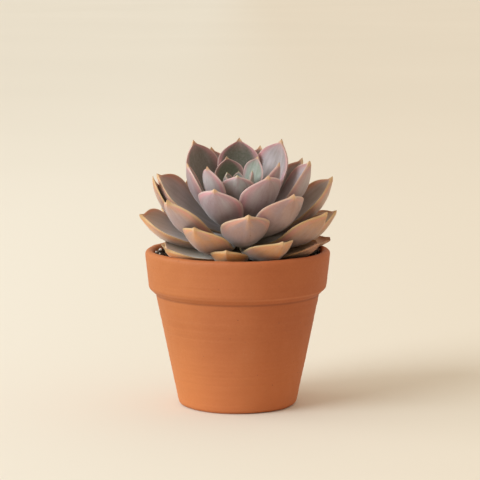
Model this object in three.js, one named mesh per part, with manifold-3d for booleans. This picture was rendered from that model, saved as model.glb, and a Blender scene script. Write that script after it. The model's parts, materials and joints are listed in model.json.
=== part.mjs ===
// A potted succulent: a rosette of fleshy leaves on a short stem, planted in a tapered clay pot.
// Millimetres, +Z up. The origin is the centre of the pot's foot, where the pot stands.
import * as THREE from "three";
import { mergeVertices } from "three/addons/utils/BufferGeometryUtils.js";
import Module from "manifold-3d";

// ---- driving dimensions -------------------------------------------------------------------
const POT_HEIGHT = 88;
const RIM_RADIUS = 52; // outer radius just under the lip
const RIM_FOOT_RADIUS = 50; // outer radius at the rim band's lower edge
const RIM_BAND_Z = 66; // lower edge of the rim band
const LEDGE_DROP = 3; // height of the slope from the rim band in to the body
const BODY_TOP_RADIUS = 46;
const FOOT_RADIUS = 33.5;
const WALL = 4.6;
const FLOOR_THICKNESS = 6;
const DRAIN_RADIUS = 6;
const LIP_ROUND = 2.2; // radius of the rounded edge at the mouth
const LIP_FLAT = 0.4; // width of the flat between the lip's two rounded edges
const FOOT_CHAMFER = 1.5;
const BAND_CHAMFER = 1; // worn lower edge of the rim band
const POT_SIDES = 72;

const GAP = 0.3; // clearance between touching pieces
const SOIL_EDGE_Z = 85.6; // soil level at the wall
const SOIL_DIP = 4.7; // how much lower the soil is round the stem
const SOIL_BANK = 5; // how late the soil turns up towards the wall: a higher power is later

const CROWN_Z = 86; // height of the rosette's own origin, at the foot of its lowest leaves
const CROWN_LEAN = 15; // degrees the rosette's axis leans towards the front (-Y)
const STEM_RADIUS = 7;
const STEM_TIP_RADIUS = 2.2;
const STEM_TIP_ROUND = 0.8; // height of the blunt cone that ends the stem
const STEM_HEIGHT = 31; // from the rosette's origin up to the growing tip
const ROOT_DEPTH = 34; // how far the stem's buried end reaches below the rosette's origin
const STEM_SIDES = 20;
const SOIL_SIDES = 48;

// ---- helpers ------------------------------------------------------------------------------
const deg = THREE.MathUtils.degToRad;
const lerp = THREE.MathUtils.lerp;
const vec = (x, y, z) => new THREE.Vector3(x, y, z);

const COLOURS = {
  clay: { color: 0xc27a4a, roughness: 0.85 },
  soil: { color: 0x2e221b, roughness: 0.95 },
  stem: { color: 0x6f6a4c, roughness: 0.7 },
  young_leaf: { color: 0x8fa88c, roughness: 0.55 },
  leaf: { color: 0xa98f92, roughness: 0.55 },
  old_leaf: { color: 0xb98a62, roughness: 0.6 },
  dry_leaf: { color: 0x8a5a44, roughness: 0.75 },
  perlite: { color: 0xe9e5db, roughness: 0.8 },
};

function named(name, finish, geometry) {
  const material = new THREE.MeshStandardMaterial({ ...COLOURS[finish], metalness: 0 });
  const mesh = new THREE.Mesh(geometry, material);
  mesh.name = name;
  return mesh;
}

// A closed ring of [radius, height] points turned about Z.
function turned(outline, sides) {
  const points = outline.map(([r, z]) => new THREE.Vector2(r, z));
  return new THREE.LatheGeometry(points, sides).rotateX(Math.PI / 2);
}

// Points along a quarter round from angle a0 to a1 (degrees) about a centre.
function arc(cr, cz, radius, a0, a1, steps) {
  return Array.from({ length: steps + 1 }, (_, i) => {
    const a = deg(lerp(a0, a1, i / steps));
    return [cr + radius * Math.cos(a), cz + radius * Math.sin(a)];
  });
}

// ---- pot ----------------------------------------------------------------------------------
const innerFootRadius = FOOT_RADIUS - WALL + LIP_FLAT;
const innerMouthRadius = RIM_RADIUS - 2 * LIP_ROUND - LIP_FLAT;
const innerHeight = POT_HEIGHT - LIP_ROUND - FLOOR_THICKNESS;
const innerRadiusAt = (z) => lerp(innerFootRadius, innerMouthRadius, (z - FLOOR_THICKNESS) / innerHeight);

function potGeometry() {
  const lipZ = POT_HEIGHT - LIP_ROUND;
  const outline = [
    [DRAIN_RADIUS, 0],
    [FOOT_RADIUS - FOOT_CHAMFER, 0],
    [FOOT_RADIUS, FOOT_CHAMFER],
    [BODY_TOP_RADIUS, RIM_BAND_Z - LEDGE_DROP],
    [RIM_FOOT_RADIUS - BAND_CHAMFER, RIM_BAND_Z],
    [RIM_FOOT_RADIUS, RIM_BAND_Z + BAND_CHAMFER],
    ...arc(RIM_RADIUS - LIP_ROUND, lipZ, LIP_ROUND, 0, 90, 3),
    ...arc(innerMouthRadius + LIP_ROUND, lipZ, LIP_ROUND, 90, 180, 3),
    [innerFootRadius, FLOOR_THICKNESS],
    [DRAIN_RADIUS, FLOOR_THICKNESS],
    [DRAIN_RADIUS, 0],
  ];
  return turned(outline, POT_SIDES);
}

// ---- leaves -------------------------------------------------------------------------------
// The rosette has its own frame: origin at the crown, Z along the rosette's leaning axis.
// A leaf runs in the plane of its azimuth from the stem to its tip. "reach" is the tip's distance
// from the rosette's axis, "rise" the tip's height in the rosette's frame, "bow" how many
// degrees the blade turns up from its chord at either end, and "roll" its twist about its length.
// "cup" is the depth of the blade's dish for its half width, and "thick" its thickness for its width.
const LEAF_DEFAULTS = { roll: 0, cup: 0.3, thick: 0.19 };
const NECK = 0.2; // half width at the base, as a share of the widest
const WIDEST_AT = 0.68;
const BLADE_END = 0.97; // where the rounded blade ends and its sharp point begins
const UPPER_SHARE = 0.28; // of the thickness above and below the dished middle surface
const LOWER_SHARE = 0.72;
const STATIONS = [0, 0.14, 0.32, 0.5, 0.66, 0.79, 0.88, 0.93, 0.965];
const ACROSS = [-0.86, -0.5, 0, 0.5, 0.86];

// Half the blade's width at s along it, as a share of its widest half width.
function outlineAt(s) {
  if (s < WIDEST_AT) return NECK + (1 - NECK) * Math.sin((Math.PI / 2) * (s / WIDEST_AT)) ** 1.25;
  const t = (s - WIDEST_AT) / (BLADE_END - WIDEST_AT);
  return Math.max(0, 1 - t ** 2.3) ** 0.8;
}

// The thickness at s along the leaf, as a share of its thickest: thin at the base, and again at the point.
function thicknessAt(s) {
  const middle = 0.45 + 0.55 * Math.sin(Math.PI * (0.95 * s + 0.05));
  const point = Math.min(1, 0.35 + 2.2 * (1 - s));
  return middle * point;
}

function leafGeometry(leaf) {
  const { azimuth, reach, rise, width, bow, roll, cup, thick, base } = { ...LEAF_DEFAULTS, ...leaf };
  const rib = ribCurve(base, { r: reach, z: rise }, bow);
  const across = vec(0, 1, 0);
  const rings = STATIONS.map((s) => {
    const at = rib.getPointAt(s);
    const along = rib.getTangentAt(s);
    const side = across.clone().applyAxisAngle(along, deg(roll * s));
    const up = side.clone().cross(along).negate();
    const half = (width / 2) * outlineAt(s);
    const body = thick * width * thicknessAt(s);
    const dish = cup * half * Math.min(1, 1.5 * s);
    const point = (v, face) => {
      const lift = dish * (v * v - 0.35);
      const depth = face * body * (1 - Math.abs(v) ** 1.4);
      return at.clone().addScaledVector(side, half * v).addScaledVector(up, lift - depth);
    };
    return [
      point(-1, 0),
      ...ACROSS.map((v) => point(v, -UPPER_SHARE)),
      point(1, 0),
      ...[...ACROSS].reverse().map((v) => point(v, LOWER_SHARE)),
    ];
  });
  const geometry = skin(rings, centre(rings[0]), rib.getPointAt(1));
  return geometry.rotateZ(deg(azimuth));
}

// The midrib as a curve in the XZ plane.
function ribCurve(from, to, bow) {
  const p0 = vec(from.r, 0, from.z);
  const p3 = vec(to.r, 0, to.z);
  const chord = p3.clone().sub(p0);
  const pull = chord.length() / 3;
  const turnedBy = (angle) => chord.clone().normalize().applyAxisAngle(vec(0, -1, 0), deg(angle));
  const p1 = p0.clone().addScaledVector(turnedBy(-bow), pull);
  const p2 = p3.clone().addScaledVector(turnedBy(bow), -pull);
  return new THREE.CubicBezierCurve3(p0, p1, p2, p3);
}

const centre = (ring) => ring.reduce((sum, p) => sum.add(p), vec(0, 0, 0)).divideScalar(ring.length);

// A closed skin over rings of equal size, with a pole at either end.
function skin(rings, first, last) {
  const size = rings[0].length;
  const points = [first, ...rings.flat(), last];
  const at = (ring, k) => 1 + ring * size + (k % size);
  const faces = [];
  for (let k = 0; k < size; k++) {
    faces.push(0, at(0, k), at(0, k + 1));
    for (let ring = 0; ring + 1 < rings.length; ring++) {
      faces.push(at(ring, k), at(ring + 1, k), at(ring + 1, k + 1));
      faces.push(at(ring, k), at(ring + 1, k + 1), at(ring, k + 1));
    }
    faces.push(at(rings.length - 1, k), points.length - 1, at(rings.length - 1, k + 1));
  }
  const geometry = new THREE.BufferGeometry().setFromPoints(points);
  geometry.setIndex(faces);
  return geometry;
}

// The stem narrows from its foot up to the growing tip.
const stemRadiusAt = (z) => lerp(STEM_RADIUS, STEM_TIP_RADIUS, Math.max(0, z) / STEM_HEIGHT);

// [name, finish, azimuth, reach, rise, base height on the stem, width, bow, extras]
const LEAVES = [
  // bud
  ["leaf_01", "young_leaf", 80, 3, 48, 29, 7, 8],
  ["leaf_02", "young_leaf", 0, 8, 49.5, 28.2, 9, 10],
  ["leaf_03", "young_leaf", 215, 8, 48.5, 27.4, 8, 12],
  ["leaf_04", "young_leaf", 146, 7, 47, 26.6, 9, 12],
  ["leaf_05", "young_leaf", 269, 10, 50.5, 25.6, 19, 14],
  // inner ring
  ["leaf_06", "young_leaf", 42, 15, 54, 24, 16, 14],
  ["leaf_07", "young_leaf", 116, 14, 53, 23, 18, 14],
  ["leaf_08", "leaf", 336, 25, 58, 22, 18, 14],
  ["leaf_09", "leaf", 217, 21, 56.5, 21, 18.5, 14],
  // second ring
  ["leaf_10", "leaf", 307, 28, 55, 20, 27.5, 20],
  ["leaf_11", "leaf", 88, 27, 59, 19.5, 24, 16],
  ["leaf_12", "leaf", 247, 32, 50, 18, 26.5, 20],
  ["leaf_13", "leaf", 36, 30.5, 61.3, 18, 27, 20],
  ["leaf_14", "leaf", 139, 33, 59.5, 17, 26, 22],
  ["leaf_15", "leaf", 188, 28, 55.2, 16, 19, 16],
  ["leaf_16", "leaf", 358, 40, 55.5, 15, 26, 20, { cup: 0.45 }],
  // third ring
  ["leaf_17", "leaf", 317, 42, 46.5, 14, 32, 25, { roll: -10 }],
  ["leaf_18", "leaf", 69, 36, 52, 13, 24, 24],
  ["leaf_19", "leaf", 114, 37, 51, 12, 24, 28],
  ["leaf_20", "old_leaf", 278, 42, 39.5, 11.5, 27, 28, { cup: 0.33 }],
  ["leaf_21", "leaf", 30, 42, 49, 11.5, 24, 24, { cup: 0.4 }],
  ["leaf_22", "leaf", 176, 45, 46.3, 12, 33, 16, { roll: -4, cup: 0.34, thick: 0.13 }],
  ["leaf_23", "leaf", 217.5, 48.5, 43.4, 10.4, 27, 21, { roll: 6 }],
  ["leaf_24", "leaf", 8, 53.5, 43, 9.5, 27, 24, { cup: 0.42 }],
  ["leaf_25", "leaf", 185, 47, 47.6, 7.5, 16, 34, { thick: 0.15 }],
  // fourth ring
  ["leaf_26", "old_leaf", 337, 53.5, 33, 7.5, 29, 22, { roll: -12, cup: 0.42 }],
  ["leaf_27", "old_leaf", 240, 47, 32.3, 7.6, 27, 25],
  ["leaf_28", "leaf", 87, 44, 43, 8, 25, 28],
  ["leaf_29", "leaf", 50, 47, 40, 7, 25, 28],
  ["leaf_30", "leaf", 126, 43, 38, 7, 25, 28],
  ["leaf_31", "old_leaf", 199.5, 57.2, 30.6, 5.4, 27, 11, { roll: -18 }],
  ["leaf_32", "old_leaf", 300, 49.5, 24.5, 6.6, 26.5, 23, { roll: -4, cup: 0.42 }],
  ["leaf_33", "old_leaf", 3, 55.5, 24.4, 5, 27, 23],
  // lowest leaves
  ["leaf_34", "leaf", 72, 53, 25, 5, 25, 26],
  ["leaf_35", "leaf", 113, 53, 22, 4, 25, 26],
  ["leaf_36", "old_leaf", 262, 44, 19.8, 3, 21, 30, { thick: 0.22 }],
  ["leaf_37", "old_leaf", 219, 51, 15.8, 3, 28, 14, { roll: -8 }],
  ["leaf_38", "old_leaf", 155, 48, 19, 3.3, 22, 20],
  ["leaf_39", "dry_leaf", 331, 51.5, 15.6, 0.9, 23, 15],
  ["leaf_40", "old_leaf", 49, 54, 11, 2.7, 24, 20],
  ["leaf_41", "dry_leaf", 16, 55, 1.2, 1, 19, 6, { roll: -8 }],
  ["leaf_42", "old_leaf", 93, 53, -1, 1, 23, 16],
  ["leaf_43", "old_leaf", 134, 53, 1, 0.6, 23, 16],
  ["leaf_44", "old_leaf", 192, 43.5, 8.7, 0.2, 22, 16, { roll: -34 }],
];

// ---- stem, soil and perlite ---------------------------------------------------------------
// The stem from its buried end to the growing tip, in the rosette's frame; grown outwards by "spare".
function stemGeometry(spare) {
  const outline = [
    [0, -ROOT_DEPTH - spare],
    [1.2 + spare, -ROOT_DEPTH - spare],
    [3.4 + spare, -0.7 * ROOT_DEPTH],
    [5.6 + spare, -0.3 * ROOT_DEPTH],
    [STEM_RADIUS + spare, 0],
    [STEM_TIP_RADIUS + spare, STEM_HEIGHT],
    [0, STEM_HEIGHT + STEM_TIP_ROUND + spare],
  ];
  return turned(outline, STEM_SIDES);
}

function soilHeightAt(r) {
  const t = r / innerRadiusAt(SOIL_EDGE_Z);
  return SOIL_EDGE_Z - SOIL_DIP * (1 - t ** SOIL_BANK);
}

// The potting mix: it fills the pot to just under the rim, and has a socket where the stem goes in.
function soilGeometry(stem) {
  const bottomZ = FLOOR_THICKNESS + GAP;
  const edgeRadius = innerRadiusAt(SOIL_EDGE_Z) - GAP;
  const steps = 8;
  const surface = Array.from({ length: steps }, (_, i) => {
    const r = edgeRadius * (1 - i / steps);
    return [r, soilHeightAt(r)];
  });
  const outline = [[0, bottomZ], [innerRadiusAt(bottomZ) - GAP, bottomZ], ...surface, [0, soilHeightAt(0)]];
  return cut(turned(outline, SOIL_SIDES), stem);
}

function perliteGeometry(size, turn) {
  const grain = new THREE.IcosahedronGeometry(size / 2, 1);
  const at = grain.getAttribute("position");
  const p = vec(0, 0, 0);
  for (let i = 0; i < at.count; i++) {
    p.fromBufferAttribute(at, i);
    const lump = 1 + 0.14 * Math.sin(7 * p.x / size + turn) * Math.cos(6 * p.y / size - turn);
    p.set(p.x * lump, p.y * lump * 0.85, p.z * lump * 0.75);
    at.setXYZ(i, p.x, p.y, p.z);
  }
  return merged(grain).rotateZ(turn);
}

const PERLITE_SEAT = 0.43; // how far below a grain's centre its underside is, for its size
// [azimuth, distance from the pot's axis, size]
const PERLITE = [
  [166, 45.3, 2.1],
  [178, 45.9, 1.5],
  [179, 43.9, 1.4],
  [187, 44.1, 1.2],
  [252, 43, 3],
  [318, 44, 1.7],
  [96, 40, 2.4],
  [61, 42.5, 1.9],
  [148, 43, 2.1],
];

// ---- solids -------------------------------------------------------------------------------
function merged(geometry) {
  geometry.deleteAttribute("normal");
  geometry.deleteAttribute("uv");
  return mergeVertices(geometry, 1e-4);
}

function solid(geometry) {
  const { index, attributes } = merged(geometry);
  const triVerts = new Uint32Array(index.array);
  const mesh = { numProp: 3, vertProperties: attributes.position.array, triVerts };
  return new wasm.Manifold(new wasm.Mesh(mesh));
}

function cut(from, tool) {
  const { numProp, vertProperties, triVerts } = solid(from).subtract(solid(tool)).getMesh();
  if (numProp !== 3) throw new Error("a cut solid holds more than positions");
  const geometry = new THREE.BufferGeometry();
  geometry.setAttribute("position", new THREE.BufferAttribute(vertProperties, 3));
  geometry.setIndex(new THREE.BufferAttribute(triVerts, 1));
  return geometry;
}

// ---- the plant in its pot -----------------------------------------------------------------
const wasm = await Module();
wasm.setup();

const rosette = new THREE.Group();
rosette.position.z = CROWN_Z;
rosette.rotation.x = deg(CROWN_LEAN);
rosette.updateMatrixWorld();
for (const [name, finish, azimuth, reach, rise, height, width, bow, extras = {}] of LEAVES) {
  const base = { r: stemRadiusAt(height) + 2 * GAP, z: height };
  const leaf = { azimuth, reach, rise, width, bow, base, ...extras };
  rosette.add(named(name, finish, leafGeometry(leaf)));
}
rosette.add(named("stem", "stem", stemGeometry(0)));

const plant = new THREE.Group();
plant.add(named("pot", "clay", potGeometry()));
plant.add(named("soil", "soil", soilGeometry(stemGeometry(GAP).applyMatrix4(rosette.matrixWorld))));
plant.add(rosette);
PERLITE.forEach(([azimuth, r, size], i) => {
  const grain = named(`perlite_0${i + 1}`, "perlite", perliteGeometry(size, i + 1));
  const z = soilHeightAt(r) + size * PERLITE_SEAT + GAP;
  grain.position.set(r * Math.cos(deg(azimuth)), r * Math.sin(deg(azimuth)), z);
  plant.add(grain);
});

export default plant;
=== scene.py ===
"""A potted succulent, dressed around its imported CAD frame.

Every leaf is grown from its own CAD solid: the solid's sections give the midrib, the width, the dish
and the thickness, and a fine skin is laid over them. The pot and the stem are turned from the CAD
outlines in the same way. Metres, +Z up. The front is -Y.
"""
import json
import math
from collections import namedtuple

import bmesh
import bpy
import numpy as np
from mathutils import Matrix, Vector


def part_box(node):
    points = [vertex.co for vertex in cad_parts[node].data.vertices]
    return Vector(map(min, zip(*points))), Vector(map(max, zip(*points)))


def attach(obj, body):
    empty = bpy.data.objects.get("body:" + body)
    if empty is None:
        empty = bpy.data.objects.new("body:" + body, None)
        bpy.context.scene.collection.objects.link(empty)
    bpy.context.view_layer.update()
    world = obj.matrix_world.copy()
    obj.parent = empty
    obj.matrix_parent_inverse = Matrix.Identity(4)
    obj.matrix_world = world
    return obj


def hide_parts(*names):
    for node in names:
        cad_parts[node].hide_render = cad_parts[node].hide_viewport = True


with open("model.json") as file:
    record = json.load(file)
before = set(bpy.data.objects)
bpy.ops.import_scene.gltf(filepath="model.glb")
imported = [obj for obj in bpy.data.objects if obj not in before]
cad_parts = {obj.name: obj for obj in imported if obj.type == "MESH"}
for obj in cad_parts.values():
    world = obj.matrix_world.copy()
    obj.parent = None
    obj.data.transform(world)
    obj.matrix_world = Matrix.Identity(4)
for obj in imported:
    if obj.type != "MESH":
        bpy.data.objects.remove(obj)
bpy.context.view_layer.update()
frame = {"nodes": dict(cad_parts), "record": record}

MM = 0.001
NODES = frame["nodes"]


# ---- scene: camera, light, floor ---------------------------------------------------------------
def link(name, data):
    made = bpy.data.objects.new(name, data)
    bpy.context.scene.collection.objects.link(made)
    return made


CAMERA_PLACE = (0.00134, -1.1465, 0.248)
CAMERA_PITCH = 7.7  # degrees below level
LENS = 154.15  # mm, for a sensor 36 mm wide


def make_camera():
    lens = bpy.data.cameras.new("camera")
    lens.lens = LENS
    lens.sensor_width = 36
    lens.clip_end = 60
    camera = link("camera", lens)
    camera.location = CAMERA_PLACE
    camera.rotation_euler = (math.radians(90 - CAMERA_PITCH), 0, 0)
    bpy.context.scene.camera = camera


def lamp(name, kind, energy, colour, place, towards):
    """A light that shines in the direction towards."""
    light = bpy.data.lights.new(name, kind)
    light.energy = energy
    light.color = colour
    made = link(name, light)
    made.location = place
    made.rotation_euler = Vector(towards).to_track_quat("-Z", "Y").to_euler()
    return light


def make_lights():
    key = lamp("key", "SUN", 2.3, (0.86, 0.95, 1.0), (0, 0, 0), (0.76, 0.47, -0.5))
    key.angle = math.radians(36)
    side = lamp("side", "AREA", 9, (0.95, 0.97, 1.0), (-1.6, 0.2, 1.0), (1.6, -0.1, -0.95))
    side.size = 1.2


BRIGHT_SIDE = (0.25, 0.87, 0.42)  # where the room is brightest: behind and above
ROOM_DIM, ROOM_BRIGHT = (0.42, 0.35, 0.27, 1), (1.13, 0.98, 0.79, 1)
ROOM_STRENGTH = 0.82


def make_room():
    """Light from all round, dim in front and bright behind."""
    world = bpy.data.worlds.new("studio")
    bpy.context.scene.world = world
    world.use_nodes = True
    tree = world.node_tree
    direction = tree.nodes.new("ShaderNodeTexCoord").outputs["Generated"]
    facing = tree.nodes.new("ShaderNodeVectorMath")
    facing.operation = "DOT_PRODUCT"
    facing.inputs[1].default_value = BRIGHT_SIDE
    tree.links.new(direction, facing.inputs[0])
    spread = tree.nodes.new("ShaderNodeMapRange")
    spread.inputs["From Min"].default_value = -1
    tree.links.new(facing.outputs["Value"], spread.inputs["Value"])
    tone = tree.nodes.new("ShaderNodeMix")
    tone.data_type = "RGBA"
    tone.inputs[6].default_value = ROOM_DIM
    tone.inputs[7].default_value = ROOM_BRIGHT
    tree.links.new(spread.outputs["Result"], tone.inputs["Factor"])
    tree.links.new(tone.outputs[2], tree.nodes["Background"].inputs["Color"])
    tree.nodes["Background"].inputs["Strength"].default_value = ROOM_STRENGTH


def set_view():
    view = bpy.context.scene.view_settings
    view.view_transform = "Standard"
    view.look = "None"


# ---- materials ---------------------------------------------------------------------------------
class Nodes:
    """A short way to write a node tree: each call adds a node and returns its first output."""

    def __init__(self, name):
        self.material = bpy.data.materials.new(name)
        self.material.use_nodes = True
        self.tree = self.material.node_tree
        self.tree.nodes.clear()
        self.shader = self.tree.nodes.new("ShaderNodeBsdfPrincipled")
        out = self.tree.nodes.new("ShaderNodeOutputMaterial")
        self.tree.links.new(self.shader.outputs[0], out.inputs["Surface"])

    def put(self, socket, value):
        if isinstance(value, bpy.types.NodeSocket):
            self.tree.links.new(value, socket)
        elif isinstance(value, (tuple, list)) and len(value) == 3 and len(socket.default_value) == 4:
            socket.default_value = (*value, 1)
        else:
            socket.default_value = value

    def surface(self, **sockets):
        for name, value in sockets.items():
            self.put(self.shader.inputs[name.replace("_", " ")], value)

    def read(self, name):
        node = self.tree.nodes.new("ShaderNodeAttribute")
        node.attribute_name = name
        return node.outputs["Fac"]

    def place(self):
        return self.tree.nodes.new("ShaderNodeTexCoord").outputs["Object"]

    def sum(self, kind, a, b=0.0, clamp=False):
        node = self.tree.nodes.new("ShaderNodeMath")
        node.operation = kind
        node.use_clamp = clamp
        self.put(node.inputs[0], a)
        self.put(node.inputs[1], b)
        return node.outputs[0]

    def vector(self, x, y, z):
        node = self.tree.nodes.new("ShaderNodeCombineXYZ")
        for socket, value in zip(node.inputs, (x, y, z)):
            self.put(socket, value)
        return node.outputs[0]

    def split(self, vector):
        """The vector's outputs X, Y and Z, by name."""
        node = self.tree.nodes.new("ShaderNodeSeparateXYZ")
        self.put(node.inputs[0], vector)
        return node.outputs

    def scaled(self, vector, scale):
        node = self.tree.nodes.new("ShaderNodeVectorMath")
        node.operation = "MULTIPLY"
        self.put(node.inputs[0], vector)
        self.put(node.inputs[1], scale)
        return node.outputs[0]

    def distance(self, vector, point):
        node = self.tree.nodes.new("ShaderNodeVectorMath")
        node.operation = "DISTANCE"
        self.put(node.inputs[0], vector)
        self.put(node.inputs[1], point)
        return node.outputs["Value"]

    def noise(self, vector, scale, detail=3.0, rough=0.55):
        node = self.tree.nodes.new("ShaderNodeTexNoise")
        self.put(node.inputs["Vector"], vector)
        node.inputs["Scale"].default_value = scale
        node.inputs["Detail"].default_value = detail
        node.inputs["Roughness"].default_value = rough
        return node.outputs["Fac"]

    def cells(self, vector, scale):
        node = self.tree.nodes.new("ShaderNodeTexVoronoi")
        self.put(node.inputs["Vector"], vector)
        node.inputs["Scale"].default_value = scale
        return node.outputs["Distance"]

    def ramp(self, value, low, high, to_low=0.0, to_high=1.0):
        """value from low..high to to_low..to_high, with a smooth start and end."""
        node = self.tree.nodes.new("ShaderNodeMapRange")
        node.interpolation_type = "SMOOTHSTEP"
        self.put(node.inputs["Value"], value)
        limits = {"From Min": low, "From Max": high, "To Min": to_low, "To Max": to_high}
        for name, limit in limits.items():
            node.inputs[name].default_value = limit
        return node.outputs["Result"]

    def line_at(self, value, centre, inner, outer, most):
        """As much as most where value is within inner of centre, fading to 0 at outer."""
        away = self.sum("ABSOLUTE", self.sum("SUBTRACT", value, centre))
        return self.ramp(away, outer, inner, 0.0, most)

    def leaf_noise(self, lengthwise, crosswise, scale, detail, rough):
        """Noise in a leaf's own coordinates, finer along or across it as the first two numbers grow."""
        along = self.sum("MULTIPLY", self.read("along"), lengthwise)
        across = self.sum("MULTIPLY", self.read("across"), crosswise)
        return self.noise(self.vector(along, across, self.read("seed")), scale, detail, rough)

    def mix(self, share, a, b, how="MIX"):
        node = self.tree.nodes.new("ShaderNodeMix")
        node.data_type = "RGBA"
        node.blend_type = how
        self.put(node.inputs["Factor"], share)
        self.put(node.inputs[6], a)
        self.put(node.inputs[7], b)
        return node.outputs[2]

    def bump(self, height, distance, strength=1.0):
        node = self.tree.nodes.new("ShaderNodeBump")
        node.inputs["Strength"].default_value = strength
        node.inputs["Distance"].default_value = distance
        self.put(node.inputs["Height"], height)
        self.put(self.shader.inputs["Normal"], node.outputs[0])


# Colours of the leaf's upper face, of its underside, of the wax on it, and of its edges and point.
MINT = (0.2, 0.27, 0.17)
GREY_MAUVE = (0.235, 0.2, 0.185)
OLIVE = (0.43, 0.35, 0.26)
DEEP_GREEN = (0.12, 0.125, 0.075)
BARE_GREEN_AND_PAINTED_SHADE = (0.06, 0.065, 0.035)
YOUNG_LILAC = (0.31, 0.25, 0.245)
LILAC = (0.335, 0.24, 0.255)
TAN_BROWN = (0.42, 0.235, 0.14)
DUSKY_BASE = (0.19, 0.15, 0.11)
ORANGE_TAN = (0.62, 0.27, 0.08)
MINT_WAX = (0.45, 0.5, 0.46)
LILAC_WAX = (0.47, 0.405, 0.425)
OLIVE_WAX = (0.52, 0.45, 0.34)
RUBBED = (0.8, 0.76, 0.74)  # multiplies what is under it
PINK = (0.48, 0.245, 0.255)
ORANGE = (0.54, 0.27, 0.12)
ROSE = (0.58, 0.265, 0.29)
CORAL = (0.62, 0.27, 0.22)
PALE_EDGE_AND_PAINTED_GLOW = (0.66, 0.47, 0.44)
OCHRE_EDGE_AND_PAINTED_GLOW = (0.62, 0.43, 0.2)
GREEN_POINT = (0.42, 0.5, 0.26)
OCHRE_POINT = (0.62, 0.39, 0.18)
BROWN_END = (0.3, 0.14, 0.06)
SCAR = (0.16, 0.09, 0.05)
DUST = (0.6, 0.56, 0.56)


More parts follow.
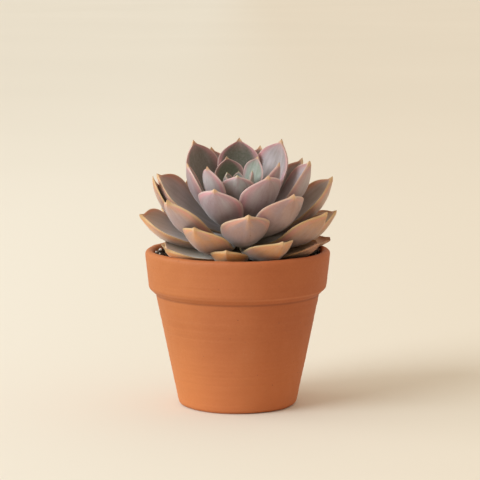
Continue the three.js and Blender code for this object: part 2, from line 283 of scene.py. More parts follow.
def leaf_skin():
    """Waxy leaf skin.

    Attributes: along 0..1, across -1..1, under 0..1, age 0..1, the wax amount (partly painted light and
    shade), tan and seed. margin is the distance in from the nearer edge in mm, and inset is the same for a
    leaf of the usual width.
    """
    n = Nodes("leaf_skin")
    along, under, age, wax_and_painted_light = n.read("along"), n.read("under"), n.read("age"), n.read("wax_and_painted_light")
    margin, inset = n.read("margin"), n.read("inset")
    streaks = n.leaf_noise(1.6, 3.4, 1.6, 3, 0.5)
    patches = n.leaf_noise(3.0, 1.6, 1.5, 3, 0.5)
    grain = n.noise(n.place(), 900, 3, 0.6)

    # upper face: mint when young, grey mauve later, olive when old, and greener towards the base
    upper = n.mix(n.ramp(age, 0.06, 0.25), MINT, GREY_MAUVE)
    upper = n.mix(n.ramp(age, 0.4, 0.75), upper, OLIVE)
    base = n.sum("MULTIPLY", n.ramp(along, 0.6, 0.1), n.ramp(age, 0.2, 0.5, 1.0, 0.35))
    upper = n.mix(base, upper, DEEP_GREEN)
    # a wax amount below 0 bares the upper face to dark green; on some leaves that is painted shade
    upper = n.mix(n.ramp(wax_and_painted_light, 0.0, -0.3, 0.0, 0.9), upper, BARE_GREEN_AND_PAINTED_SHADE)
    # underside: lilac when young, brown when old
    lower = n.mix(n.ramp(age, 0.04, 0.2), YOUNG_LILAC, LILAC)
    lower = n.mix(n.ramp(age, 0.4, 0.8), lower, TAN_BROWN)
    lower = n.mix(n.ramp(along, 0.72, 0.22), lower, DUSKY_BASE)
    skin = n.mix(under, upper, lower)

    # powdery bloom, thicker in patches, rubbed thin in streaks; the wax amount also thickens it on some
    # leaves as painted light
    bloom = n.ramp(patches, 0.32, 0.7, -0.13, 0.25)
    bloom = n.sum("ADD", bloom, n.ramp(streaks, 0.35, 0.7, -0.09, 0.13))
    bloom = n.sum("ADD", bloom, wax_and_painted_light, True)
    powder = n.mix(n.ramp(age, 0.06, 0.25), MINT_WAX, LILAC_WAX)
    powder = n.mix(n.ramp(age, 0.6, 0.85), powder, OLIVE_WAX)
    skin = n.mix(bloom, skin, powder)
    skin = n.mix(n.ramp(streaks, 0.55, 0.3, 0.0, 0.4), skin, RUBBED, "MULTIPLY")

    # the margin and the outer end blush: pink on young leaves, orange on old ones, little in the bud
    blush = n.mix(n.ramp(age, 0.25, 0.6), PINK, ORANGE)
    reach = n.sum("MULTIPLY", n.ramp(inset, 5.0, 0.6), n.ramp(along, 0.25, 0.92, 0.15, 1.0))
    reach = n.sum("MAXIMUM", reach, n.ramp(along, 0.8, 1.0, 0.0, 0.7))
    reach = n.sum("MULTIPLY", reach, n.ramp(age, 0.03, 0.12, 0.3, 1.0))
    amount = n.sum("MULTIPLY", reach, n.ramp(patches, 0.25, 0.7, 0.35, 0.95), True)
    skin = n.mix(amount, skin, blush)
    # a rose or coral band, here and there, just inside the margin
    band = n.sum("MULTIPLY", n.ramp(inset, 2.7, 1.2), n.ramp(margin, 0.2, 0.9))
    band = n.sum("MULTIPLY", band, n.ramp(streaks, 0.4, 0.6, 0.05, 0.75))
    band = n.sum("MULTIPLY", band, n.ramp(along, 0.3, 0.55))
    skin = n.mix(band, skin, n.mix(n.ramp(age, 0.3, 0.5), ROSE, CORAL))
    # old undersides turn orange tan over their outer half
    tanned = n.sum("MULTIPLY", n.ramp(along, 0.5, 0.92), n.ramp(age, 0.3, 0.6))
    tanned = n.sum("MULTIPLY", tanned, n.read("tan"))
    tanned = n.sum("MULTIPLY", tanned, n.ramp(patches, 0.32, 0.62, 0.25, 1.0))
    tanned = n.sum("MULTIPLY", tanned, n.ramp(under, 0.0, 1.0, 0.25, 1.0), True)
    skin = n.mix(tanned, skin, ORANGE_TAN)
    # the margin line is partly the leaf's own pale edge and partly painted light shining through the thin
    # edge
    edge = n.mix(n.ramp(age, 0.2, 0.6), PALE_EDGE_AND_PAINTED_GLOW, OCHRE_EDGE_AND_PAINTED_GLOW)
    skin = n.mix(n.ramp(margin, 0.95, 0.35, 0.0, 0.75), skin, edge)
    # the point itself is ochre, or green in the bud, with a brown end
    point = n.mix(n.ramp(age, 0.05, 0.14), GREEN_POINT, OCHRE_POINT)
    skin = n.mix(n.ramp(along, 0.93, 0.975, 0.0, 0.75), skin, point)
    skin = n.mix(n.ramp(along, 0.99, 1.0, 0.0, 0.5), skin, BROWN_END)
    # small scars and dust
    specks = n.ramp(n.cells(n.place(), 240), 0.13, 0.05, 0.0, 0.65)
    specks = n.sum("MULTIPLY", specks, n.ramp(n.noise(n.place(), 120, 2), 0.52, 0.62))
    skin = n.mix(specks, skin, SCAR)
    skin = n.mix(n.ramp(grain, 0.3, 0.7, 0.0, 0.08), skin, DUST)

    n.surface(Base_Color=skin, Roughness=n.ramp(bloom, 0.0, 0.8, 0.5, 0.62))
    n.surface(Subsurface_Weight=0.12, Subsurface_Scale=0.0025, Subsurface_Radius=(1.0, 0.45, 0.3))
    n.surface(Sheen_Weight=0.42, Sheen_Roughness=0.4)
    height = n.sum("ADD", n.sum("MULTIPLY", streaks, 0.5), n.sum("MULTIPLY", grain, 0.25))
    n.bump(height, 0.0001, 0.5)
    return n.material


def dry_skin():
    """A withered leaf: brown, papery, wrinkled along its length."""
    dark, straw, rust = (0.34, 0.22, 0.13), (0.6, 0.45, 0.29), (0.5, 0.26, 0.17)
    ochre_edge, red_point = (0.6, 0.38, 0.14), (0.42, 0.17, 0.11)
    n = Nodes("dry_skin")
    folds = n.leaf_noise(1.5, 9.0, 2.0, 5, 0.65)
    spots = n.noise(n.place(), 260, 4, 0.6)
    skin = n.mix(n.ramp(folds, 0.3, 0.7), dark, straw)
    skin = n.mix(n.ramp(spots, 0.5, 0.75, 0.0, 0.5), skin, rust)
    skin = n.mix(n.ramp(n.read("margin"), 1.4, 0.2, 0.0, 0.7), skin, ochre_edge)
    skin = n.mix(n.ramp(n.read("along"), 0.7, 0.95, 0.0, 0.7), skin, red_point)
    n.surface(Base_Color=skin, Roughness=0.7, Sheen_Weight=0.1)
    n.bump(folds, 0.0004, 0.8)
    return n.material


CREASE_Z = 0.0629  # the crease under the pot's rim band
BAND_EDGE_Z = 0.0662  # the rim band's lower edge
CHIP = (0.0024, -0.04, 0.0401)


def terracotta():
    """Unglazed clay: mottled, with turning lines, pits and a little lime bloom. It also carries painted
    light and shade: lighter and yellower on the lit left, darker and redder on the shaded right, lighter
    at the foot as painted light bounced from the floor, a painted shadow in the crease under the rim band
    and a painted highlight along the band's lower edge.
    """
    clay_dark, clay_light = (0.445, 0.124, 0.036), (0.475, 0.138, 0.041)
    # the third colour lightens the foot as painted light bounced from the floor
    ring, grit, painted_bounce_foot = (0.5, 0.16, 0.055), (0.38, 0.105, 0.037), (0.57, 0.175, 0.052)
    # painted light and shade: lighter and yellower on the lit left side, darker and redder on the shaded
    # right
    painted_lit_left, painted_shade_right = (1.02, 1.12, 0.93), (0.97, 0.9, 0.82)  # these two multiply
    # painted shade for the crease under the rim band, then a painted highlight for the band's lower edge
    crease_shade, worn = (0.2, 0.05, 0.016), (0.62, 0.22, 0.085)
    lime_white, pit = (0.62, 0.3, 0.16), (0.19, 0.06, 0.025)
    n = Nodes("terracotta")
    place = n.place()
    clouds = n.noise(place, 28, 4, 0.55)
    bands = n.noise(n.scaled(place, (6.0, 6.0, 520.0)), 1.0, 3, 0.6)
    fine = n.noise(place, 900, 4, 0.65)
    clay = n.mix(n.ramp(clouds, 0.35, 0.65), clay_dark, clay_light)
    clay = n.mix(n.ramp(bands, 0.35, 0.7, 0.0, 0.18), clay, ring)
    clay = n.mix(n.ramp(fine, 0.3, 0.7, 0.0, 0.2), clay, grit)
    at = n.split(place)
    # painted light bounced from the floor: the clay grows lighter towards the foot
    clay = n.mix(n.ramp(at["Z"], 0.055, 0.0, 0.0, 0.8), clay, painted_bounce_foot)
    # painted light on the lit left side and painted shade on the right
    clay = n.mix(n.ramp(at["X"], 0.0, -0.045), clay, painted_lit_left, "MULTIPLY")
    clay = n.mix(n.ramp(at["X"], 0.0, 0.02), clay, painted_shade_right, "MULTIPLY")
    # painted shade in the crease under the rim band, and a painted highlight along the band's own lower
    # edge
    clay = n.mix(n.line_at(at["Z"], CREASE_Z, 0.0002, 0.0009, 0.42), clay, crease_shade)
    clay = n.mix(n.line_at(at["Z"], BAND_EDGE_Z, 0.0002, 0.0009, 0.3), clay, worn)
    lime = n.ramp(n.noise(place, 45, 5, 0.7), 0.55, 0.72)
    lime = n.sum("MULTIPLY", lime, n.ramp(fine, 0.45, 0.65, 0.0, 0.2))
    clay = n.mix(lime, clay, lime_white)
    pits = n.ramp(n.cells(place, 330), 0.13, 0.05)
    pits = n.sum("MULTIPLY", pits, n.ramp(n.noise(place, 150, 2), 0.52, 0.62))
    pits = n.sum("MAXIMUM", pits, n.ramp(n.distance(place, CHIP), 0.0008, 0.0004))
    clay = n.mix(n.sum("MULTIPLY", pits, 0.75), clay, pit)
    n.surface(Base_Color=clay, Roughness=n.ramp(fine, 0.2, 0.8, 0.6, 0.75), Specular_IOR_Level=0.5)
    height = n.sum("ADD", n.sum("MULTIPLY", bands, 0.35), n.sum("MULTIPLY", fine, 0.3))
    n.bump(n.sum("SUBTRACT", height, n.sum("MULTIPLY", pits, 1.6)), 0.00018, 0.7)
    return n.material


def potting_mix():
    """Dark crumbs, some of them brown and a few pale, by the attribute tone 0..1."""
    black, dark = (0.012, 0.0075, 0.005), (0.05, 0.031, 0.02)
    brown, pale = (0.1, 0.055, 0.03), (0.42, 0.38, 0.32)
    n = Nodes("potting_mix")
    place, tone = n.place(), n.read("tone")
    clumps = n.noise(place, 420, 5, 0.7)
    mix = n.mix(n.ramp(clumps, 0.3, 0.7), black, dark)
    mix = n.mix(n.ramp(tone, 0.45, 0.85), mix, brown)
    mix = n.mix(n.ramp(tone, 0.93, 0.96), mix, pale)
    n.surface(Base_Color=mix, Roughness=0.92, Specular_IOR_Level=0.25)
    n.bump(n.noise(place, 1100, 4, 0.7), 0.0004, 0.8)
    return n.material


def perlite_white():
    """White foam, stained in places."""
    shade, white, stain = (0.5, 0.46, 0.4), (0.84, 0.81, 0.75), (0.4, 0.3, 0.2)
    n = Nodes("perlite_white")
    place = n.place()
    foam = n.cells(place, 2600)
    grain = n.mix(n.ramp(foam, 0.1, 0.5), shade, white)
    grain = n.mix(n.ramp(n.noise(place, 500, 3), 0.5, 0.8, 0.0, 0.35), grain, stain)
    n.surface(Base_Color=grain, Roughness=0.85)
    n.bump(foam, 0.00025, 0.8)
    return n.material


def stem_bark():
    """Fibrous bark with green patches."""
    brown, straw, green = (0.12, 0.085, 0.045), (0.3, 0.26, 0.15), (0.22, 0.27, 0.13)
    n = Nodes("stem_bark")
    place = n.place()
    fibres = n.noise(n.scaled(place, (900.0, 900.0, 120.0)), 1.0, 4, 0.6)
    bark = n.mix(n.ramp(fibres, 0.3, 0.7), brown, straw)
    bark = n.mix(n.ramp(n.noise(place, 160, 3), 0.45, 0.7, 0.0, 0.6), bark, green)
    n.surface(Base_Color=bark, Roughness=0.8)
    n.bump(fibres, 0.0003, 0.8)
    return n.material


def floor_paint():
    """A pale floor, slightly uneven, with painted shade that makes it darker and warmer towards the right.
    """
    cream, light, painted_floor_shade = (0.79, 0.758, 0.682), (0.81, 0.778, 0.702), (0.962, 0.922, 0.88)
    n = Nodes("floor_paint")
    tone = n.noise(n.place(), 0.8, 2, 0.5)
    paint = n.mix(n.ramp(tone, 0.2, 0.8), cream, light)
    # painted shade: the floor grows darker and warmer towards the right, where the light falls off
    paint = n.mix(n.ramp(n.split(n.place())["X"], -0.22, 0.22), paint, painted_floor_shade, "MULTIPLY")
    n.surface(Base_Color=paint, Roughness=0.9, Specular_IOR_Level=0.1)
    return n.material


# ---- pieces ------------------------------------------------------------------------------------
def piece(name, points, faces, material, replaced, marks=None):
    """A smooth mesh piece that rides the object's one body and stands for a CAD node."""
    mesh = bpy.data.meshes.new(name)
    mesh.from_pydata([tuple(p) for p in points], [], faces)
    mesh.update()
    mesh.shade_smooth()
    for key, values in (marks or {}).items():
        attribute = mesh.attributes.new(key, "FLOAT", "POINT")
        attribute.data.foreach_set("value", np.asarray(values, np.float32))
    mesh.materials.append(material)
    made = link(name, mesh)
    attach(made, "root")
    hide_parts(replaced)
    return made


def tube_faces(rings, size):
    """Faces of a closed skin over rings of equal size; point 0 and the last point are its poles."""
    last = 1 + rings * size
    at = lambda ring, k: 1 + ring * size + k % size
    quad = lambda r, k: (at(r, k), at(r + 1, k), at(r + 1, k + 1), at(r, k + 1))
    faces = [quad(r, k) for r in range(rings - 1) for k in range(size)]
    faces += [(0, at(0, k), at(0, k + 1)) for k in range(size)]
    faces += [(at(rings - 1, k), last, at(rings - 1, k + 1)) for k in range(size)]
    return faces


def through(knots, values, t):
    """A smooth curve through values at knots, read at t."""
    knots, values = np.asarray(knots, float), np.asarray(values, float)
    slopes = np.gradient(values, knots, axis=0)
    i = np.clip(np.searchsorted(knots, t, side="right") - 1, 0, len(knots) - 2)
    step = knots[i + 1] - knots[i]
    u = (t - knots[i]) / step
    if values.ndim > 1:
        u, step = u[:, None], step[:, None]
    start = (1 + 2 * u) * (1 - u) ** 2 * values[i] + u * (1 - u) ** 2 * step * slopes[i]
    end = u * u * (3 - 2 * u) * values[i + 1] + u * u * (u - 1) * step * slopes[i + 1]
    return start + end


def unit(vectors):
    return vectors / np.linalg.norm(vectors, axis=-1, keepdims=True)


def welded(node):
    """The CAD node's mesh with the facets joined at their corners."""
    mesh = bmesh.new()
    mesh.from_mesh(NODES[node].data)
    bmesh.ops.remove_doubles(mesh, verts=mesh.verts, dist=0.002 * MM)
    mesh.verts.ensure_lookup_table()
    return mesh


# ---- leaves ------------------------------------------------------------------------------------
STATIONS = (0, 0.14, 0.32, 0.5, 0.66, 0.79, 0.88, 0.93, 0.965)  # where the CAD leaf has its sections
BROAD = 4  # the section nearest to the leaf's widest place
# A section has a margin, five points on the upper face, the other margin, and five on the underside.
SECTION, OVER, FAR, BELOW = 12, 3, 6, 9
UPPER_SHARE, LOWER_SHARE = 0.28, 0.72  # of the thickness, above and below the dished middle surface
WIDEST_AT, BLADE_END, NECK, FULLNESS = 0.68, 0.97, 0.2, 1.25  # of the CAD leaf's outline
FINE_END, FINE_NECK, OGEE = 0.953, 0.22, 3.0  # of the finer outline, which has an ogee point
BUD_TOP = np.array([0.0, 0.0, 150 * MM])  # a place on the plant's axis
ROWS, ACROSS = 48, 17  # points of the fine skin along the leaf, and across one face
LEAF_COUNT = 44
USUAL_WIDTH = 24  # mm

# Powdery wax left on a leaf, up to 1, where it isn't the usual; below 0 the bare upper face is green. Some
# amounts are partly painted light and shade: the lowest, on leaves 7, 11, 14 and 18, darken them as
# painted shade, and the highest, on 16 and 37, lighten them as painted light.
USUAL_WAX = 0.12
WAX_AND_PAINTED_LIGHT = {
    1: 0.6, 2: 0.5, 3: 0.4, 4: 0.4, 5: 0.2, 6: 0.5, 7: -0.2, 9: 0.6, 10: 0.2, 11: -0.25, 12: 0.2,
    13: 0.5, 14: -0.15, 16: 1.0, 17: 0.0, 18: -0.12, 20: 0.06, 22: 0.5, 23: 0.4, 24: 0.42,
    27: -0.04, 31: 0.7, 33: 0.1, 37: 1.0,
}
# How far an old leaf's underside has turned orange tan, where it isn't the usual share of the most.
USUAL_TAN = 0.75
TAN = {17: 2.0, 20: 0.8, 23: 0.25, 26: 0.5, 31: 1.0, 33: 0.5, 36: 1.7, 37: 1.4}


def sections_of(node):
    """The CAD leaf's sections, base first, as an array [station, point, xyz], and its tip."""
    mesh = welded(node)
    low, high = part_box("stem")
    poles = [v for v in mesh.verts if len(v.link_edges) == SECTION]
    tip = max(poles, key=lambda v: (v.co - (low + high) / 2).length)
    follows = {}
    for face in tip.link_faces:
        corners = [v.index for v in face.verts]
        at = corners.index(tip.index)
        follows[corners[at - 1]] = corners[(at + 1) % 3]
    ring = [next(iter(follows))]
    while len(ring) < SECTION:
        ring.append(follows[ring[-1]])
    rings, done = [ring], {tip.index, *ring}
    near = lambda i: {e.other_vert(mesh.verts[i]).index for e in mesh.verts[i].link_edges}
    while len(rings) < len(STATIONS):
        last = rings[-1]
        shared = [near(a) & near(b) - done for a, b in zip(last, last[1:] + last[:1])]
        ring = [found.pop() for found in shared]
        done |= set(ring)
        rings.append(ring)
    places = np.array([[mesh.verts[i].co for i in ring] for ring in reversed(rings)])
    tip_at = np.array(tip.co)
    mesh.free()
    # Turn the count so that point 0 is a margin, and the face that looks at the plant's axis comes next.
    half = SECTION // 2
    middle = places[BROAD]
    spans = [np.linalg.norm(middle[k] - middle[k + half]) for k in range(half)]
    start = int(np.argmax(spans))
    to_axis = BUD_TOP - middle.mean(axis=0)
    side_a = np.roll(middle, -start, axis=0)[1:half].mean(axis=0)
    side_b = np.roll(middle, -start - half, axis=0)[1:half].mean(axis=0)
    if (side_b - side_a) @ to_axis > 0:
        start += half
    return np.roll(places, -start, axis=1), tip_at


def outline_at(s, neck=NECK, fullness=FULLNESS, point=0.0, end=BLADE_END):
    """The leaf's half width at s along its blade, as a share of the widest.

    As it stands this is the CAD leaf's. A fullness below its own swells the blade, and a point above 0
    draws the end out to an ogee.
    """
    s = np.clip(s, 0, 1)
    wide = neck + (1 - neck) * np.sin(np.pi / 2 * np.minimum(s / WIDEST_AT, 1)) ** fullness
    t = np.clip((s - WIDEST_AT) / (end - WIDEST_AT), 0, 1)
    blade = np.where(s < WIDEST_AT, wide, (1 - t ** 2.3) ** 0.8)
    cone = point * (1 - s) * np.clip((s - 0.86) / 0.07, 0, 1)
    return (blade ** 4 + cone ** 4) ** 0.25


def waves(rng, count, low, high):
    """A smooth random function of two variables, about -1..1, with low..high waves per unit."""
    turns = rng.uniform(-1, 1, (count, 2)) * rng.uniform(low, high, (count, 1))
    phase = rng.uniform(0, 2 * np.pi, count)
    both = list(zip(turns, phase))
    return lambda a, b: sum(np.sin(2 * np.pi * (f[0] * a + f[1] * b) + p) for f, p in both) / count ** 0.5


Blade = namedtuple("Blade", "s rib side up half body hollow widest tip")


def blade_of(node, age, dried):
    """The leaf in rows from base to point, read from its CAD solid.

    Each row has its place s, the midrib's point, the directions to the side and up, the half width,
    the thickness, and the depth of the dish as a share of the half width.
    """
    sections, tip = sections_of(node)
    thick = sections[:, OVER] - sections[:, BELOW]
    middle = (sections[:, 0] + sections[:, FAR]) / 2
    dish = middle - sections[:, OVER] + UPPER_SHARE * thick
    span = (sections[:, FAR] - sections[:, 0]) / 2
    knots = np.array(STATIONS)
    ends = np.append(knots, 1.0)
    widest = np.linalg.norm(span[BROAD]) / outline_at(knots[BROAD])
    last_too = lambda rows: np.vstack([rows, rows[-1:]])

    s = -0.03 + 1.0295 * (1 - (1 - np.linspace(0, 1, ROWS)) ** 1.45)
    rib = through(ends, np.vstack([middle - 0.65 * dish, tip]), s)
    side = unit(through(ends, last_too(unit(span)), s))
    up = unit(through(ends, last_too(unit(thick)), s))
    body = through(ends, np.append(np.linalg.norm(thick, axis=1), 0.8 * np.linalg.norm(thick[-1])), s)
    hollow = np.sum(dish * unit(thick), axis=1) / np.linalg.norm(span, axis=1)
    hollow = through(ends, np.append(hollow, hollow[-1]), s)
    half = widest * outline_at(s, FINE_NECK, 1.2 - 0.25 * age, OGEE, FINE_END)
    body = body * np.sqrt(np.clip((1 - s) / 0.04, 0, 1)) * (1 + 0.25 * min(1, 1.6 * age))
    if dried:
        body = body * 0.7
    return Blade(s, rib, side, up, half, body, hollow, widest, tip)


def leaf(node, material, age, dried):
    """A leaf's skin: wavy margins, a keel below, dents, and folds if it has dried."""
    number = int(node[-2:])
    rng = np.random.default_rng(1000 + number)
    blade = blade_of(node, age, dried)
    half, widest = blade.half, blade.widest

    # Points round a row: over the upper face from one margin to the other, and back along the underside.
    over = np.sin(np.pi / 2 * np.linspace(-1, 1, ACROSS))
    v = np.concatenate([over, over[-2:0:-1]])
    under = np.concatenate([np.zeros(ACROSS), np.ones(ACROSS - 2)])
    under[[0, ACROSS - 1]] = 0.5
    grid_s, grid_v = np.meshgrid(blade.s, v, indexing="ij")
    margin_wave, width_wave = waves(rng, 5, 0.4, 1.6), waves(rng, 4, 0.5, 2.2)
    dent, fold = waves(rng, 14, 1.0, 5.0), waves(rng, 12, 0.3, 3.0)
    grown = np.clip(grid_s / 0.35, 0, 1)
    half_grid = half[:, None] * (1 + 0.018 * width_wave(grid_s, 0.7 * np.sign(grid_v)) * grown)
    lift = blade.hollow[:, None] * half_grid * (grid_v ** 2 - 0.35)
    lift += widest * (0.11 if dried else 0.028) * margin_wave(grid_s, 0.9 * grid_v) * grid_v ** 2 * grown
    rounding = np.sqrt(1 - np.minimum(np.abs(grid_v), 1) ** 12)
    rim = 0.26 * MM * np.minimum(1, half / (1.5 * MM))[:, None] * rounding
    keel = 1 + 0.3 * np.exp(-(grid_v / 0.22) ** 2) * np.clip((grid_s - 0.45) / 0.4, 0, 1)
    swell = blade.body[:, None] * (1 - np.abs(grid_v) ** 2.3)
    below = np.where(under > 0.5, -LOWER_SHARE * swell * keel - rim, 0)
    face = np.where(under < 0.5, UPPER_SHARE * swell + rim, below)
    face += 0.045 * MM * dent(2 * grid_s + 3 * under, grid_v) * (1 - grid_v ** 2) * grown
    if dried:
        face += 0.28 * MM * fold(grid_s, 3.2 * grid_v + under) * grown
    rows = (
        blade.rib[:, None]
        + blade.side[:, None] * (half_grid * grid_v)[..., None]
        + blade.up[:, None] * (lift + face)[..., None]
    )
    points = np.vstack([rows[0].mean(axis=0), rows.reshape(-1, 3), blade.tip])
    with_poles = lambda grid, first, last: np.concatenate([[first], grid.ravel(), [last]])
    margin = half_grid * (1 - np.abs(grid_v)) / MM
    inset = margin * (USUAL_WIDTH / 2) * MM / widest
    marks = {
        "along": with_poles(np.clip(grid_s, 0, 1), 0, 1),
        "across": with_poles(grid_v, 0, 0),
        "under": with_poles(np.broadcast_to(under, grid_s.shape), 0.5, 0.5),
        "margin": with_poles(margin, 2, 0),
        "inset": with_poles(inset, 5, 0),
        "age": np.full(len(points), age),
        "wax_and_painted_light": np.full(len(points), WAX_AND_PAINTED_LIGHT.get(number, USUAL_WAX)),
        "tan": np.full(len(points), TAN.get(number, USUAL_TAN)),
        "seed": np.full(len(points), rng.uniform(0, 40)),
    }
    piece(f"{node}_skin", points, tube_faces(ROWS, len(v)), material, node, marks)


def make_leaves():
    skin, dry = leaf_skin(), dry_skin()
    for row in frame["record"]["subparts"]:
        node, slot = row["node"], row["material_slot"]
        if node.startswith("leaf"):
            dried = slot == "dry_leaf"
            age = (int(node[-2:]) - 1) / (LEAF_COUNT - 1)
            leaf(node, dry if dried else skin, age, dried)


# ---- pot, stem, soil, perlite ------------------------------------------------------------------
WEAR = 2  # how many times the corners of a turned outline are worn round
STEM_SIDES = 20  # of the CAD stem


def profile_of(node, frame_of=Matrix.Identity(4)):
    """The line (radius, height) that a turned CAD node was made from, closed or from pole to pole."""
    mesh = welded(node)
    mesh.transform(frame_of.inverted())
    cut = {}
    for v in mesh.verts:
        r = math.hypot(v.co.x, v.co.y)
        if r < 1e-6 or abs(math.atan2(v.co.y, v.co.x)) < 1e-3:
            cut[v.index] = (r, v.co.z)
    links = {i: [e.other_vert(mesh.verts[i]).index for e in mesh.verts[i].link_edges] for i in cut}
    links = {i: [j for j in found if j in cut] for i, found in links.items()}
    mesh.free()
    ends = [i for i, found in links.items() if len(found) == 1]
    first = ends[0] if ends else min(cut, key=lambda i: (cut[i][1], cut[i][0]))
    line, seen = [first], {first}
    while True:
        onward = [j for j in links[line[-1]] if j not in seen]
        if not onward:
            break
        line.append(onward[0])
        seen.add(onward[0])
    return [cut[i] for i in line]


def softened(line, step, closed):
    """The line with points every step along it and its corners worn round."""
    line = np.array(line + line[:1] if closed else line)
    length = np.concatenate([[0], np.cumsum(np.linalg.norm(np.diff(line, axis=0), axis=1))])
    t = np.linspace(0, length[-1], int(length[-1] / step) + 1)
    line = np.column_stack([np.interp(t, length, line[:, k]) for k in (0, 1)])
    if closed:
        line = line[:-1]
    for _ in range(WEAR):
        before, after = np.roll(line, 1, axis=0), np.roll(line, -1, axis=0)
        worn = (before + 2 * line + after) / 4
        if not closed:
            worn[[0, -1]] = line[[0, -1]]
        line = worn
    return line


def turned(name, line, sides, closed, push, material, node, frame_of=Matrix.Identity(4)):
    """A turned skin. push(angle, place along the line 0..1, radius, height) gives metres outwards."""
    if not closed and line[0][1] > line[-1][1]:
        line = line[::-1]
    count = len(line)
    before, after = np.roll(line, 1, axis=0), np.roll(line, -1, axis=0)
    out = unit((after - before)[:, ::-1] * [1, -1])
    angle = np.arange(sides) * 2 * np.pi / sides
    a, j = np.meshgrid(angle, np.arange(count), indexing="ij")
    radius, height = line[j, 0], line[j, 1]
    distance = push(a, j / count, radius, height)
    if not closed:
        distance[:, [0, -1]] = 0
    radius = radius + out[j, 0] * distance
    height = height + out[j, 1] * distance
    points = np.stack([radius * np.cos(a), radius * np.sin(a), height], axis=-1)
    if closed:
        points = points.reshape(-1, 3)
        at = lambda i, k: (i % sides) * count + k % count
        quad = lambda i, k: (at(i, k), at(i + 1, k), at(i + 1, k + 1), at(i, k + 1))
        faces = [quad(i, k) for i in range(sides) for k in range(count)]
    else:
        inner = points[:, 1:-1].transpose(1, 0, 2)
        points = np.vstack([points[0, 0], inner.reshape(-1, 3), points[0, -1]])
        faces = [face[::-1] for face in tube_faces(count - 2, sides)]
    matrix = np.array(frame_of)
    points = points @ matrix[:3, :3].T + matrix[:3, 3]
    piece(name, points, faces, material, node)


def bell(distance, reach):
    """1 where the distance is 0, fading to nothing a few times reach away."""
    return np.exp(-(distance / reach) ** 2)


def make_pot():
    """Clay with turning lines, dents, an uneven lip, a seam, a crease and a bead, and a scratch."""
    band_bottom, band_top, scratch_height = 63.2 * MM, 66.6 * MM, 83.6 * MM
    seam_at, scratch_at = 1.495 * np.pi, 1.64 * np.pi
    rng = np.random.default_rng(7)
    dents, fine = waves(rng, 10, 0.6, 3.0), waves(rng, 16, 4.0, 11.0)
    thrown = waves(rng, 9, 9.0, 26.0)
    outline = profile_of("pot")
    top = max(z for _, z in outline)

    def push(a, _, radius, height):
        x, y = np.cos(a), np.sin(a)
        lines = thrown(height / (40 * MM), 0.03 * (x + 0.6 * y))
        worn = dents(x + 0.4 * y, y + height / (60 * MM)) + 0.4 * fine(x - 0.3 * y, y + height / (90 * MM))
        seam = bell(a - seam_at, 0.008) * (height > 67 * MM) * (radius > 49 * MM)
        uneven = np.clip((height - top + 4 * MM) / (4 * MM), 0, 1) * fine(0.7 * x, 0.7 * y)
        crease = bell(height - band_bottom, 0.7 * MM) * (radius > 44 * MM)
        bead = bell(height - band_top, 0.6 * MM) * (radius > 48.5 * MM)
        scratch = bell(height - scratch_height, 0.5 * MM) * bell(a - scratch_at, 0.16) * (radius > 50 * MM)
        raised = 0.045 * lines + 0.08 * worn + 0.06 * seam + 0.09 * uneven + 0.1 * bead + 0.1 * scratch
        return MM * (raised - 0.25 * crease)

    turned("pot_clay", softened(outline, 0.6 * MM, True), 200, True, push, terracotta(), "pot")


def crown_frame():
    """The stem's own frame: its axis runs from its CAD solid's pole in the soil to the pole at its tip."""
    mesh = welded("stem")
    poles = sorted((v for v in mesh.verts if len(v.link_edges) == STEM_SIDES), key=lambda v: v.co.z)
    low, high = poles[0].co.copy(), poles[-1].co.copy()
    mesh.free()
    axis = (high - low).normalized()
    return Matrix.Translation(low) @ Vector((0, 0, 1)).rotation_difference(axis).to_matrix().to_4x4()


def make_stem():
    rng = np.random.default_rng(11)
    knobs, ribs = waves(rng, 12, 1.0, 5.0), waves(rng, 10, 4.0, 12.0)
    frame_of = crown_frame()
    line = softened(profile_of("stem", frame_of), 0.8 * MM, False)

    def push(a, t, radius, height):
        x, y = np.cos(a), np.sin(a)
        return MM * (0.3 * knobs(x + 9 * t, y) + 0.12 * ribs(x, y + t))

    turned("stem_bark", line, 56, False, push, stem_bark(), "stem", frame_of)


def lump(rng, detail, rough):
    """Points and faces of one uneven grain, about 1 across."""
    mesh = bmesh.new()
    bmesh.ops.create_icosphere(mesh, subdivisions=detail, radius=0.5)
    points = np.array([v.co for v in mesh.verts])
    faces = [[v.index for v in f.verts] for f in mesh.faces]
    mesh.free()
    form = waves(rng, 9, 0.8, 2.4)
    swell = form(points[:, 0] + 0.7 * points[:, 2], points[:, 1] - 0.7 * points[:, 2])
    return points * (1 + rough * swell[:, None]), faces


def turn_of(rng):
    """A random rotation."""
    q, r = np.linalg.qr(rng.normal(size=(3, 3)))
    q = q * np.sign(np.diag(r))
    return q * np.sign(np.linalg.det(q))


SOIL_FOOT_R, SOIL_DIP, SOIL_BANK = 29.07 * MM, 4.55 * MM, 5
CRUMBS, CRUMB_SHAPES = 1150, 10


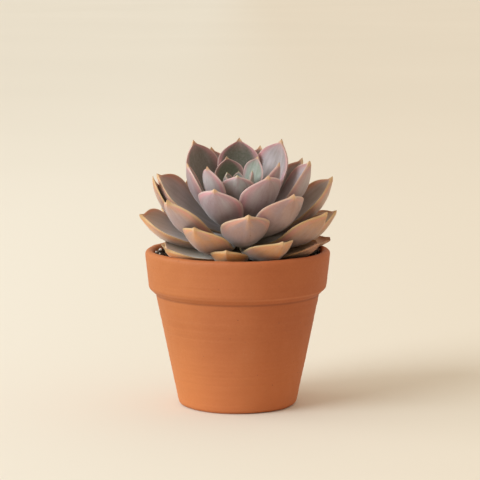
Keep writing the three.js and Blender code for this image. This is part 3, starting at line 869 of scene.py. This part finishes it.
def make_soil():
    """The bed, which lies lower round the stem than at the wall, and loose crumbs on it."""
    rng = np.random.default_rng(23)
    low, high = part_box("soil")
    foot, edge, top_r = low.z, high.z, high.x
    level = lambda r: edge - SOIL_DIP * (1 - (r / top_r) ** SOIL_BANK)
    clumps, grains = waves(rng, 14, 2.0, 7.0), waves(rng, 24, 9.0, 24.0)
    top = np.linspace(top_r, 0, 64)
    line = np.vstack([[0, foot], [SOIL_FOOT_R, foot], np.column_stack([top, level(top)])])

    def push(a, _, radius, height):
        x, y = radius * np.cos(a) / top_r, radius * np.sin(a) / top_r
        on_top = (height > edge - 1.1 * SOIL_DIP) * np.clip((top_r - radius) / (2 * MM), 0, 1)
        return MM * (0.35 * clumps(x, y) + 0.22 * grains(x, y)) * on_top

    soil = potting_mix()
    turned("soil_bed", line, 220, False, push, soil, "soil")

    points, faces, tones = [], [], []
    shapes = [lump(rng, 2, 0.16) for _ in range(CRUMB_SHAPES)]
    for _ in range(CRUMBS):
        form, sides = shapes[rng.integers(len(shapes))]
        size = MM * (0.5 + 1.7 * rng.random() ** 2.2)
        stretch = np.array([rng.uniform(0.8, 1.9), rng.uniform(0.6, 1.1), rng.uniform(0.35, 1.0)])
        r = math.sqrt(rng.uniform(0.03, 1)) * (top_r - 0.9 * MM)
        a = rng.uniform(0, 2 * math.pi)
        centre = [r * math.cos(a), r * math.sin(a), level(r) + size * rng.uniform(0.0, 0.3)]
        start = sum(map(len, points))
        points.append(form * stretch * size @ turn_of(rng).T + centre)
        faces += [[start + i for i in face] for face in sides]
        tones.append(np.full(len(form), rng.random()))
    piece("soil_crumbs", np.vstack(points), faces, soil, "soil", {"tone": np.concatenate(tones)})


def make_perlite():
    rng = np.random.default_rng(31)
    white = perlite_white()
    for node in sorted(name for name in NODES if name.startswith("perlite")):
        low, high = (np.array(corner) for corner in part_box(node))
        form, faces = lump(rng, 4, 0.1)
        pits = waves(rng, 20, 2.0, 5.0)
        form = form * (1 + 0.05 * pits(form[:, 0] + form[:, 2], form[:, 1] - form[:, 2])[:, None])
        points = form * (high - low) + (low + high) / 2
        piece(f"{node}_grain", points, faces, white, node)


def make_floor():
    mesh = bpy.data.meshes.new("floor")
    reach = 40
    corners = [(-reach, -reach, 0), (reach, -reach, 0), (reach, reach, 0), (-reach, reach, 0)]
    mesh.from_pydata(corners, [], [(0, 1, 2, 3)])
    mesh.materials.append(floor_paint())
    link("floor", mesh)


make_camera()
make_lights()
make_room()
set_view()
make_floor()
make_pot()
make_stem()
make_soil()
make_perlite()
make_leaves()
